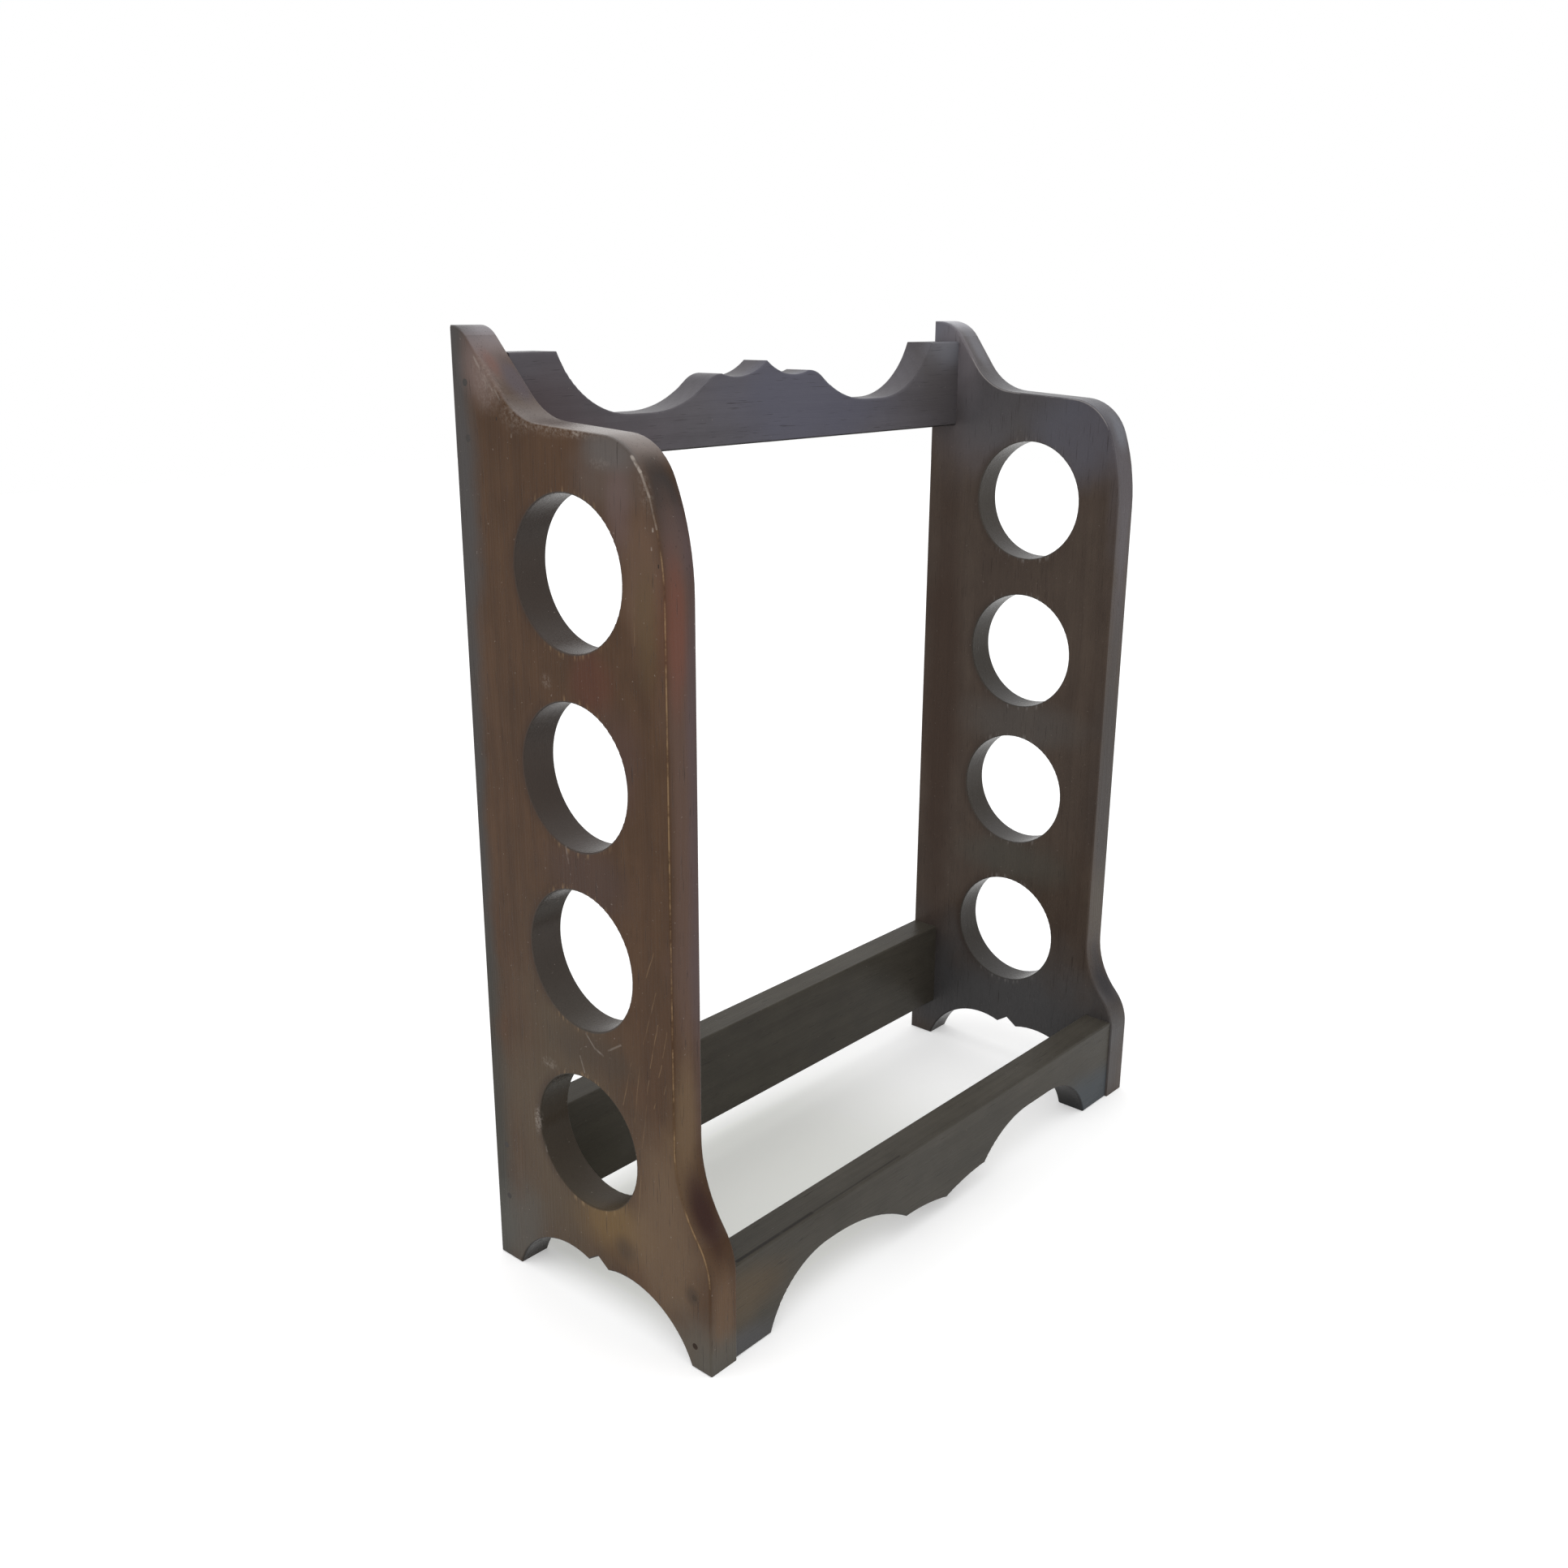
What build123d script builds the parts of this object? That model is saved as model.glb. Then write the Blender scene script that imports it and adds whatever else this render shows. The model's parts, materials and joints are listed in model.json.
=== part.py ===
from build123d import *
from math import acos, cos, degrees, radians, sin, sqrt
import os

# A free-standing rack of stained boards: two pierced end boards carry a shaped crest rail,
# a plain back rail and a shaped front apron. Long things lie across it, through facing holes.
# Millimetres. X runs along the rails, the rear edges are at +Y, Z is up from the floor.

# The whole rack
RACK_WIDTH = 398.0
RACK_DEPTH = 160.0
RACK_HEIGHT = 490.0
STOCK = 19.0  # thickness of the planed board that every wooden piece is sawn from
ARRIS = 1.2  # radius that the sawn edges are sanded to

# End boards: from the horn the top scoops down to a shoulder, which rolls over a nose into the front edge
SCOOP_ROUND = 36.0
SHOULDER_DROP = 41.3
SHOULDER_FALL = 3.5  # degrees below level
NOSE_ROUND = 30.0
CHEEK_ROUND = 125.0
WAIST_SETBACK = 22.5  # the straight front edge behind the foot that it flares out to

# End boards: they were sawn freehand, so horn, nose and flare differ from left to right
LEFT_HORN_FLAT = 0.5
LEFT_HORN_ROUND = 14.0
LEFT_HORN_SLOPE = 47.0  # degrees below level
LEFT_NOSE_TURN = 62.5  # degrees
LEFT_FLARE_HOLLOW = 72.0
LEFT_FLARE_SWELL = 38.0
LEFT_FOOT_HEIGHT = 49.5
RIGHT_HORN_FLAT = 2.6
RIGHT_HORN_ROUND = 22.0
RIGHT_HORN_SLOPE = 54.0
RIGHT_NOSE_TURN = 66.3
RIGHT_FLARE_HOLLOW = 50.0
RIGHT_FLARE_SWELL = 30.0
RIGHT_FOOT_HEIGHT = 47.5

# End boards: the two arches sawn under each, with a small notch between them, midway
REAR_FOOT = 17.0
FRONT_FOOT = 13.3
ARCH_BOW = 12.6  # height of an arch over its own chord
NOTCH_WIDTH = 14.7
NOTCH_FOOT = 27.2  # height of the two tips beside the notch
NOTCH_RISE = 5.0

# End boards: the column of holes, from the top one down, marked out by eye
HOLE_RADIUS = 36.0
HOLE_RIM = 0.6
HOLE_SHIFT = 6.2  # column of holes in front of the middle of the straight part
TOP_HOLE_DROP = 65.1  # centre of the top hole below the shoulder
UPPER_WEB = 23.2  # wood between the top hole and the next
MIDDLE_WEB = 20.7
LOWER_WEB = 26.9  # wood over the lowest hole, and at least that much under it

# Crest rail, flush with the rear edges
CREST_DROP = 12.2  # its ends below the top of the end boards
CREST_HEIGHT = 51.0
CREST_END_FLAT = 29.2
VALLEY_DEPTH = 31.0
VALLEY_ROUND = 53.0
VALLEY_FLAT = 14.4
BROW_OFFSET = 36.0  # corner of the raised middle, from the centre line
BROW_DROP = 13.3  # that corner below the ends
BROW_SHARE = 0.21  # share of the rise to the brow that its rounded top takes
PEAK_DROP = 7.4  # middle point below the ends
DIP_BOW = 4.4  # depth of the hollow between brow and peak, under its own chord

# Back rail, flush with the rear edges
BACK_RAIL_FOOT = 25.6
BACK_RAIL_HEIGHT = 57.3

# Front apron, standing on the floor between the front feet; its two arches were sawn freehand and differ
APRON_HEIGHT = 53.7
APRON_SETBACK = 1.1  # its face behind the front of the feet
APRON_FOOT = 27.0
APRON_ARCH = 32.4
APRON_OUTER_ROUND = 48.0
APRON_LEFT_ROUND = 114.0  # from the crown of the left arch down to its cusp
APRON_RIGHT_ROUND = 62.0
CUSP_OFFSET = 38.5
CUSP_HEIGHT = 13.2
PENDANT_HEIGHT = 7.6

# Finish nails, set below the surface and stopped with filler
NAIL_LENGTH = 38.0
NAIL_RADIUS = 0.9
NAIL_POINT = 2.5
NAIL_POINT_RADIUS = 0.2
NAIL_HEAD_RADIUS = 1.4
NAIL_HEAD_LENGTH = 1.5
NAIL_CLEARANCE = 0.05
NAIL_EDGE = 13.0  # from a rail's lower or upper edge
FILLER_DEPTH = 1.5
FILLER_LAP = 0.3  # filler around the nail's head
FILLER_CLEARANCE = 0.02

# Places that several pieces share
half_width = RACK_WIDTH / 2
inner_face = half_width - STOCK
rear_y = RACK_DEPTH / 2
rear_rail_y = rear_y - STOCK / 2
apron_y = -rear_y + APRON_SETBACK + STOCK / 2
shoulder_z = RACK_HEIGHT - SHOULDER_DROP
waist = RACK_DEPTH - WAIST_SETBACK
crest_end_z = RACK_HEIGHT - CREST_DROP
crest_foot_z = crest_end_z - CREST_HEIGHT
filler_radius = NAIL_HEAD_RADIUS + FILLER_LAP

UPWARD = (Align.CENTER, Align.CENTER, Align.MIN)


def hole_heights():
    """Centres of the column, as far down as leaves a whole web of wood over the notch."""
    heights = [shoulder_z - TOP_HOLE_DROP]
    for web in (UPPER_WEB, MIDDLE_WEB, LOWER_WEB):
        heights.append(heights[-1] - 2 * HOLE_RADIUS - web)
    lowest = NOTCH_FOOT + NOTCH_RISE + LOWER_WEB + HOLE_RADIUS
    return [height for height in heights if height > lowest]


def round_edges(edges):
    """Sand the arrises of a board, as far as its thickness allows."""
    return fillet(edges, min(ARRIS, STOCK / 3))


def end_board_outline(horn_flat, horn_round, horn_slope, nose_turn, flare_hollow, flare_swell, foot_height):
    """Side view of an end board: distance from the rear edge, height."""
    slope_angle = radians(horn_slope)
    fall = radians(SHOULDER_FALL)
    rounds_drop = horn_round * (1 - cos(slope_angle)) + SCOOP_ROUND * (cos(fall) - cos(slope_angle))
    slope_length = (SHOULDER_DROP - rounds_drop) / sin(slope_angle)
    nose_end = radians(SHOULDER_FALL + nose_turn)
    nose_run = NOSE_ROUND * (sin(nose_end) - sin(fall)) + CHEEK_ROUND * (1 - sin(nose_end))
    flare_turn = degrees(acos(1 - WAIST_SETBACK / (flare_hollow + flare_swell)))
    flare_run = (flare_hollow + flare_swell) * sin(radians(flare_turn))
    notch = RACK_DEPTH / 2

    rear = Line((0, 0), (0, RACK_HEIGHT))
    top = Line(rear @ 1, (horn_flat, RACK_HEIGHT))
    horn = JernArc(top @ 1, (1, 0), horn_round, -horn_slope)
    slope = PolarLine(horn @ 1, slope_length, -horn_slope)
    scoop = JernArc(slope @ 1, slope % 1, SCOOP_ROUND, horn_slope - SHOULDER_FALL)
    shoulder_run = waist - nose_run - (scoop @ 1).X
    shoulder = PolarLine(scoop @ 1, shoulder_run / cos(fall), -SHOULDER_FALL)
    nose = JernArc(shoulder @ 1, shoulder % 1, NOSE_ROUND, -nose_turn)
    cheek = JernArc(nose @ 1, nose % 1, CHEEK_ROUND, SHOULDER_FALL + nose_turn - 90)
    front = Line(cheek @ 1, (waist, foot_height + flare_run))
    hollow = JernArc(front @ 1, (0, -1), flare_hollow, flare_turn)
    swell = JernArc(hollow @ 1, hollow % 1, flare_swell, -flare_turn)
    toe = Line(swell @ 1, (RACK_DEPTH, 0))
    front_foot = Line(toe @ 1, (RACK_DEPTH - FRONT_FOOT, 0))
    front_arch = SagittaArc(front_foot @ 1, (notch + NOTCH_WIDTH / 2, NOTCH_FOOT), -ARCH_BOW)
    notch_front = Line(front_arch @ 1, (notch, NOTCH_FOOT + NOTCH_RISE))
    notch_rear = Line(notch_front @ 1, (notch - NOTCH_WIDTH / 2, NOTCH_FOOT))
    rear_arch = SagittaArc(notch_rear @ 1, (REAR_FOOT, 0), -ARCH_BOW)
    rear_foot = Line(rear_arch @ 1, (0, 0))
    return make_face([rear, top, horn, slope, scoop, shoulder, nose, cheek, front, hollow, swell, toe,
                      front_foot, front_arch, notch_front, notch_rear, rear_arch, rear_foot])


def end_board(outline):
    """An end board with its holes, standing on the left."""
    side = Plane(origin=(-inner_face, rear_y, 0), x_dir=(0, -1, 0), z_dir=(-1, 0, 0))
    board = extrude(side * outline, STOCK)
    across = board.edges().filter_by(Axis.X)
    board = round_edges([edge for edge in board.edges() if edge not in across])
    for height in hole_heights():
        place = side * Location((waist / 2 + HOLE_SHIFT, height, 0))
        board -= place * Cylinder(HOLE_RADIUS, STOCK, align=UPWARD)
    circles = board.edges().filter_by(GeomType.CIRCLE)
    rims = circles.filter_by(lambda edge: abs(edge.radius - HOLE_RADIUS) < 1e-6)
    return fillet(rims, min(HOLE_RIM, STOCK / 3))


def rail(outline, middle_y):
    """Saw a rail from its front view, sand its long edges and stand it between the end boards."""
    front = Plane(origin=(0, middle_y - STOCK / 2, 0), x_dir=(1, 0, 0), z_dir=(0, -1, 0))
    board = extrude(front * outline, -STOCK)
    ends = board.edges().filter_by(lambda edge: abs(abs(edge.center().X) - inner_face) < 1e-6)
    across = board.edges().filter_by(Axis.Y)
    return round_edges([edge for edge in board.edges() if edge not in ends and edge not in across])


def crest_outline():
    """Front view of the crest: level ends, a valley each side, and a brow that rises to a point."""
    corner_x = inner_face - CREST_END_FLAT
    valley_z = crest_end_z - VALLEY_DEPTH
    valley_run = sqrt(2 * VALLEY_ROUND * VALLEY_DEPTH - VALLEY_DEPTH**2)
    valley_x = corner_x - valley_run
    rise = VALLEY_DEPTH - BROW_DROP
    rise_run = valley_x - VALLEY_FLAT - BROW_OFFSET
    rounds = (rise_run**2 + rise**2) / (2 * rise)
    rise_turn = degrees(acos(1 - rise / rounds))

    foot = Line((0, crest_foot_z), (inner_face, crest_foot_z))
    end = Line(foot @ 1, (inner_face, crest_end_z))
    flat = Line(end @ 1, (corner_x, crest_end_z))
    valley = TangentArc((valley_x, valley_z), flat @ 1, tangent=(1, 0))
    floor = Line((valley_x, valley_z), (valley_x - VALLEY_FLAT, valley_z))
    hollow = JernArc(floor @ 1, (-1, 0), rounds * (1 - BROW_SHARE), -rise_turn)
    brow = JernArc(hollow @ 1, hollow % 1, rounds * BROW_SHARE, rise_turn)
    dip = SagittaArc(brow @ 1, (0, crest_end_z - PEAK_DROP), DIP_BOW)
    middle = Line(dip @ 1, foot @ 0)
    half = make_face([foot, end, flat, valley, floor, hollow, brow, dip, middle])
    return half + mirror(half, about=Plane.YZ)


def back_outline():
    """Front view of the back rail, a plain strip."""
    return Pos(0, BACK_RAIL_FOOT + BACK_RAIL_HEIGHT / 2) * Rectangle(2 * inner_face, BACK_RAIL_HEIGHT)


def apron_half(inner_round):
    """Right half of the apron's front view: a foot, a lopsided arch, a cusp and half of the pendant."""
    foot_x = inner_face - APRON_FOOT
    arch_run = sqrt(2 * APRON_OUTER_ROUND * APRON_ARCH - APRON_ARCH**2)
    crown_x = foot_x - arch_run
    cusp = (CUSP_OFFSET, CUSP_HEIGHT)
    fall = APRON_ARCH - CUSP_HEIGHT
    room = crown_x - CUSP_OFFSET
    inner_round = min(inner_round, (room**2 + fall**2) / (2 * fall))
    inner_run = sqrt(2 * inner_round * fall - fall**2)

    outer = TangentArc((crown_x, APRON_ARCH), (foot_x, 0), tangent=(1, 0))
    under_outer = make_face([outer, Polyline(outer @ 1, (0, 0), (0, APRON_ARCH), outer @ 0)])
    inner = TangentArc((CUSP_OFFSET + inner_run, APRON_ARCH), cusp, tangent=(-1, 0))
    inner_sides = Polyline(cusp, (CUSP_OFFSET, 0), (inner_face, 0), (inner_face, APRON_ARCH), inner @ 0)
    under_inner = make_face([inner, inner_sides])
    pendant = TangentArc(cusp, (0, PENDANT_HEIGHT), tangent=(-1, 0))
    under_pendant = make_face([pendant, Polyline(pendant @ 1, (0, 0), (CUSP_OFFSET, 0), cusp)])

    blank = Pos(inner_face / 2, APRON_HEIGHT / 2) * Rectangle(inner_face, APRON_HEIGHT)
    return blank - (under_outer & under_inner) - under_pendant


def apron_outline():
    """Front view of the apron."""
    return apron_half(APRON_RIGHT_ROUND) + mirror(apron_half(APRON_LEFT_ROUND), about=Plane.YZ)


def nail(clearance=0.0):
    """A finish nail from the top of its head along +Z; with a clearance, the hole that it fills."""
    shank_length = NAIL_LENGTH - NAIL_HEAD_LENGTH - NAIL_POINT
    radius = NAIL_RADIUS + clearance
    head = Cylinder(NAIL_HEAD_RADIUS + clearance, NAIL_HEAD_LENGTH, align=UPWARD)
    shank = Pos(0, 0, NAIL_HEAD_LENGTH) * Cylinder(radius, shank_length, align=UPWARD)
    point = Cone(radius, NAIL_POINT_RADIUS + clearance, NAIL_POINT, align=UPWARD)
    return head + shank + Pos(0, 0, NAIL_HEAD_LENGTH + shank_length) * point


def driven(middle_y, height, depth):
    """Place for a piece that lies depth below the left board's outer face and points into the rack."""
    return Location((-half_width + depth, middle_y, height), (0, 90, 0))


def both_sides(shape):
    """A left-hand shape and its mirror image on the right, by side."""
    return {"left": shape, "right": mirror(shape, about=Plane.YZ)}


left_outline = end_board_outline(
    LEFT_HORN_FLAT, LEFT_HORN_ROUND, LEFT_HORN_SLOPE, LEFT_NOSE_TURN,
    LEFT_FLARE_HOLLOW, LEFT_FLARE_SWELL, LEFT_FOOT_HEIGHT,
)
right_outline = end_board_outline(
    RIGHT_HORN_FLAT, RIGHT_HORN_ROUND, RIGHT_HORN_SLOPE, RIGHT_NOSE_TURN,
    RIGHT_FLARE_HOLLOW, RIGHT_FLARE_SWELL, RIGHT_FOOT_HEIGHT,
)
boards = {
    "left_end_board": end_board(left_outline),
    "right_end_board": mirror(end_board(right_outline), about=Plane.YZ),
    "crest_rail": rail(crest_outline(), rear_rail_y),
    "back_rail": rail(back_outline(), rear_rail_y),
    "front_apron": rail(apron_outline(), apron_y),
}

# Each rail end is glued and nailed twice through its end board: middle of the rail, lower edge, upper edge
nailed_ends = {
    "crest_rail": (rear_rail_y, crest_foot_z, crest_end_z),
    "back_rail": (rear_rail_y, BACK_RAIL_FOOT, BACK_RAIL_FOOT + BACK_RAIL_HEIGHT),
    "front_apron": (apron_y, 0, APRON_HEIGHT),
}
fixings = {}
for name, (middle_y, lower, upper) in nailed_ends.items():
    for level, height in (("lower", lower + NAIL_EDGE), ("upper", upper - NAIL_EDGE)):
        sunk = driven(middle_y, height, FILLER_DEPTH)
        face = driven(middle_y, height, 0)
        nails = both_sides(sunk * nail())
        nail_holes = both_sides(sunk * nail(NAIL_CLEARANCE))
        fillers = both_sides(face * Cylinder(filler_radius - FILLER_CLEARANCE, FILLER_DEPTH, align=UPWARD))
        pockets = both_sides(face * Cylinder(filler_radius, FILLER_DEPTH, align=UPWARD))
        for side in nails:
            boards[name] -= nail_holes[side]
            boards[f"{side}_end_board"] -= nail_holes[side] + pockets[side]
            fixings[f"{side}_{name}_nail_{level}"] = nails[side]
            fixings[f"{side}_{name}_filler_{level}"] = fillers[side]

os.makedirs("parts", exist_ok=True)
for name, piece in {**boards, **fixings}.items():
    export_step(piece, f"parts/{name}.step")
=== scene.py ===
import json
from math import radians

import bpy
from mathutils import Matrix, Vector


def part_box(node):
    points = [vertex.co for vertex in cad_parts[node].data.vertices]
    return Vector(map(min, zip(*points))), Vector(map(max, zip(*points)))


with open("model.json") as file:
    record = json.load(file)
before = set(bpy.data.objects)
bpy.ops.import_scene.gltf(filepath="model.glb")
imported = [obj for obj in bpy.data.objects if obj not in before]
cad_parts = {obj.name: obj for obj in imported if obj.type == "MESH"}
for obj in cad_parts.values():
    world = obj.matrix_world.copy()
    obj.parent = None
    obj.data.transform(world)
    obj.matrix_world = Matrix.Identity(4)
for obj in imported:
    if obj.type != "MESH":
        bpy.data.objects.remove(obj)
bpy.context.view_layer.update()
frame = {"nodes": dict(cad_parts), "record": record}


# The end boards
# Two upright planks of planed softwood, grain upright, sawn to a scrolled outline and bored four times.
# Stained to a dark walnut and varnished to a satin; handling has rubbed the arrises back to bare wood.
# Sheen on their tops, and shade on their undersides and by the holes, are painted into their colour.

def colour(red, green, blue):
    """A colour as it is read off a screen, 0 to 255, in the scale that shaders use, with its alpha."""
    shares = [part / 255 for part in (red, green, blue)]
    return [s / 12.92 if s <= 0.04045 else ((s + 0.055) / 1.055) ** 2.4 for s in shares] + [1.0]


def wire(tree, kind, inputs=None, **settings):
    """Add a node, make its own settings, and set or link its inputs by name or place."""
    made = tree.nodes.new("ShaderNode" + kind)
    for name, value in settings.items():
        setattr(made, name, value)
    for place, value in (inputs or {}).items():
        if isinstance(value, bpy.types.NodeSocket):
            tree.links.new(value, made.inputs[place])
        else:
            made.inputs[place].default_value = value
    return made


def number(tree, operation, *values, clamp=False):
    """The result of one sum on numbers or number sockets."""
    return wire(tree, "Math", dict(enumerate(values)), operation=operation, use_clamp=clamp).outputs[0]


def vector(tree, operation, *values, scale=None):
    """The result of one sum on vectors or vector sockets: a number for a length or a dot product."""
    inputs = dict(enumerate(values))
    if scale is not None:
        inputs["Scale"] = scale
    made = wire(tree, "VectorMath", inputs, operation=operation)
    return made.outputs["Value" if operation in ("LENGTH", "DOT_PRODUCT") else "Vector"]


def ease(tree, value, low, high, out_low=0.0, out_high=1.0):
    """A value taken smoothly from one range to another."""
    places = {"Value": value, "From Min": low, "From Max": high, "To Min": out_low, "To Max": out_high}
    return wire(tree, "MapRange", places, interpolation_type="SMOOTHSTEP").outputs["Result"]


def overlay(tree, share, under, over):
    """One colour laid over another, by a share."""
    made = wire(tree, "Mix", data_type="RGBA")
    for socket, value in zip([s for s in made.inputs if s.enabled], (share, under, over)):
        if isinstance(value, bpy.types.NodeSocket):
            tree.links.new(value, socket)
        else:
            socket.default_value = value
    return next(s for s in made.outputs if s.enabled)


def mottle(tree, place, scale, detail=2.0, roughness=0.5):
    """Soft random patches in a place that is already stretched to their form."""
    inputs = {"Vector": place, "Scale": scale, "Detail": detail, "Roughness": roughness}
    return wire(tree, "TexNoise", inputs).outputs


def effect(name, inputs, outputs):
    """A new node group with named sockets, its input sockets and a way to hand on its results."""
    group = bpy.data.node_groups.new(name, "ShaderNodeTree")
    for way, sockets in (("INPUT", inputs), ("OUTPUT", outputs)):
        for socket, kind in sockets.items():
            group.interface.new_socket(socket, in_out=way, socket_type="NodeSocket" + kind)
    given = group.nodes.new("NodeGroupInput").outputs
    results = group.nodes.new("NodeGroupOutput").inputs

    def hand_on(**made):
        for socket, value in made.items():
            group.links.new(value, results[socket])

    return group, given, hand_on


def use(tree, group, **inputs):
    """One use of a node group in a material, with its own values; an underscore stands for a space."""
    made = tree.nodes.new("ShaderNodeGroup")
    made.node_tree = group
    for name, value in inputs.items():
        socket = made.inputs[name.replace("_", " ")]
        if isinstance(value, bpy.types.NodeSocket):
            tree.links.new(value, socket)
        else:
            socket.default_value = value
    return made.outputs


RING_WANDER = 0.022
CLOUD_SHARE = 0.48
STREAK_SHARE = 0.36
FIBRE_SHARE = 0.16
FIBRE_RELIEF = 0.6


def drawn_out(tree, place, squeeze):
    """A place squeezed along Z, so that what is laid out in it is drawn out along the fibres."""
    return vector(tree, "MULTIPLY", place, (1.0, 1.0, squeeze))


def make_sawn_grain():
    """Figure of a sawn plank whose fibres run along Z: growth rings about the pith, fibres and open pores."""
    tree, given, hand_on = effect(
        "sawn_grain",
        {"Place": "Vector", "Pith": "Vector", "Ring Width": "Float"},
        {"Rings": "Float", "Figure": "Float", "Pores": "Float", "Height": "Float"},
    )
    place = given["Place"]
    drift = mottle(tree, drawn_out(tree, place, 0.22), scale=11.0)["Color"]
    drift = vector(tree, "SUBTRACT", drift, (0.5, 0.5, 0.5))
    moved = vector(tree, "ADD", place, vector(tree, "SCALE", drift, scale=RING_WANDER))
    from_pith = vector(tree, "MULTIPLY", vector(tree, "SUBTRACT", moved, given["Pith"]), (1.0, 1.0, 0.0))
    years = number(tree, "DIVIDE", vector(tree, "LENGTH", from_pith), given["Ring Width"])
    ring = number(tree, "FRACT", years)
    late = number(tree, "MULTIPLY", ease(tree, ring, 0.3, 0.9), ease(tree, ring, 1.0, 0.92))
    fibres = mottle(tree, drawn_out(tree, moved, 0.025), scale=700.0, detail=4.0, roughness=0.6)["Fac"]
    fibres = ease(tree, fibres, 0.25, 0.75)
    streaks = mottle(tree, drawn_out(tree, moved, 0.15), scale=50.0)["Fac"]
    streaks = ease(tree, streaks, 0.25, 0.75)
    clouds = mottle(tree, drawn_out(tree, place, 0.6), scale=48.0, detail=6.0, roughness=0.62)["Fac"]
    clouds = ease(tree, clouds, 0.28, 0.72)
    figure = number(tree, "MULTIPLY", fibres, FIBRE_SHARE)
    figure = number(tree, "MULTIPLY_ADD", streaks, STREAK_SHARE, figure)
    figure = number(tree, "MULTIPLY_ADD", clouds, CLOUD_SHARE, figure)
    pores = mottle(tree, drawn_out(tree, moved, 0.03), scale=1700.0, detail=1.0)["Fac"]
    pores = ease(tree, pores, 0.66, 0.74)
    height = number(tree, "SUBTRACT", number(tree, "MULTIPLY", fibres, FIBRE_RELIEF), pores)
    hand_on(Rings=late, Figure=figure, Pores=pores, Height=height)
    return tree


def make_rubbed_arris():
    """Where handling has rubbed the sanded edges between a board's flat face and its sawn sides."""
    tree, given, hand_on = effect(
        "rubbed_arris",
        {"Place": "Vector", "Face": "Vector", "Cover": "Float"},
        {"Rubbed": "Float"},
    )
    normal = wire(tree, "NewGeometry").outputs["Normal"]
    lean = number(tree, "ABSOLUTE", vector(tree, "DOT_PRODUCT", normal, given["Face"]))
    crown = number(tree, "MULTIPLY", ease(tree, lean, 0.45, 0.65), ease(tree, lean, 0.96, 0.84))
    patchy = mottle(tree, given["Place"], scale=80.0, detail=6.0, roughness=0.75)["Fac"]
    rubbed = ease(tree, number(tree, "ADD", patchy, given["Cover"]), 0.9, 1.14)
    hand_on(Rubbed=number(tree, "MULTIPLY", crown, rubbed))
    return tree


PATCH_EDGE = 1.15
PATCH_FULL = 0.3


def make_soft_patch():
    """A cloudy patch around a point, as far as its reach: stain, wear, painted light or painted shade."""
    tree, given, hand_on = effect(
        "soft_patch",
        {"Place": "Vector", "Centre": "Vector", "Reach": "Vector", "Cloud": "Float"},
        {"Cover": "Float"},
    )
    away = vector(tree, "DIVIDE", vector(tree, "SUBTRACT", given["Place"], given["Centre"]), given["Reach"])
    far = number(tree, "ADD", given["Cloud"], vector(tree, "LENGTH", away))
    hand_on(Cover=ease(tree, far, PATCH_EDGE, PATCH_FULL))
    return tree


def make_fine_scratch():
    """A thin broken line from one point to another."""
    tree, given, hand_on = effect(
        "fine_scratch",
        {"Place": "Vector", "Start": "Vector", "End": "Vector", "Width": "Float", "Breaks": "Float"},
        {"Cover": "Float"},
    )
    run = vector(tree, "SUBTRACT", given["End"], given["Start"])
    off = vector(tree, "SUBTRACT", given["Place"], given["Start"])
    run_squared = vector(tree, "DOT_PRODUCT", run, run)
    along = number(tree, "DIVIDE", vector(tree, "DOT_PRODUCT", off, run), run_squared, clamp=True)
    away = vector(tree, "LENGTH", vector(tree, "SUBTRACT", off, vector(tree, "SCALE", run, scale=along)))
    line = ease(tree, number(tree, "DIVIDE", away, given["Width"]), 1.0, 0.3)
    hand_on(Cover=number(tree, "MULTIPLY", line, given["Breaks"]))
    return tree


def make_worn_specks():
    """Fine broken wear for a scuffed place, and single pale specks where the varnish is pricked."""
    tree, given, hand_on = effect(
        "worn_specks",
        {"Place": "Vector"},
        {"Scuffed": "Float", "Pricked": "Float"},
    )
    scuffed = mottle(tree, given["Place"], scale=600.0, detail=6.0, roughness=0.8)["Fac"]
    pricked = mottle(tree, given["Place"], scale=620.0, detail=1.0)["Fac"]
    hand_on(Scuffed=ease(tree, scuffed, 0.42, 0.7), Pricked=ease(tree, pricked, 0.75, 0.82))
    return tree


WALL_SKIN = 0.0012
RIM_START = 0.0004
SPLINTER_REACH = 0.004
RIM_SHADE_REACH = 0.006


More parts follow.
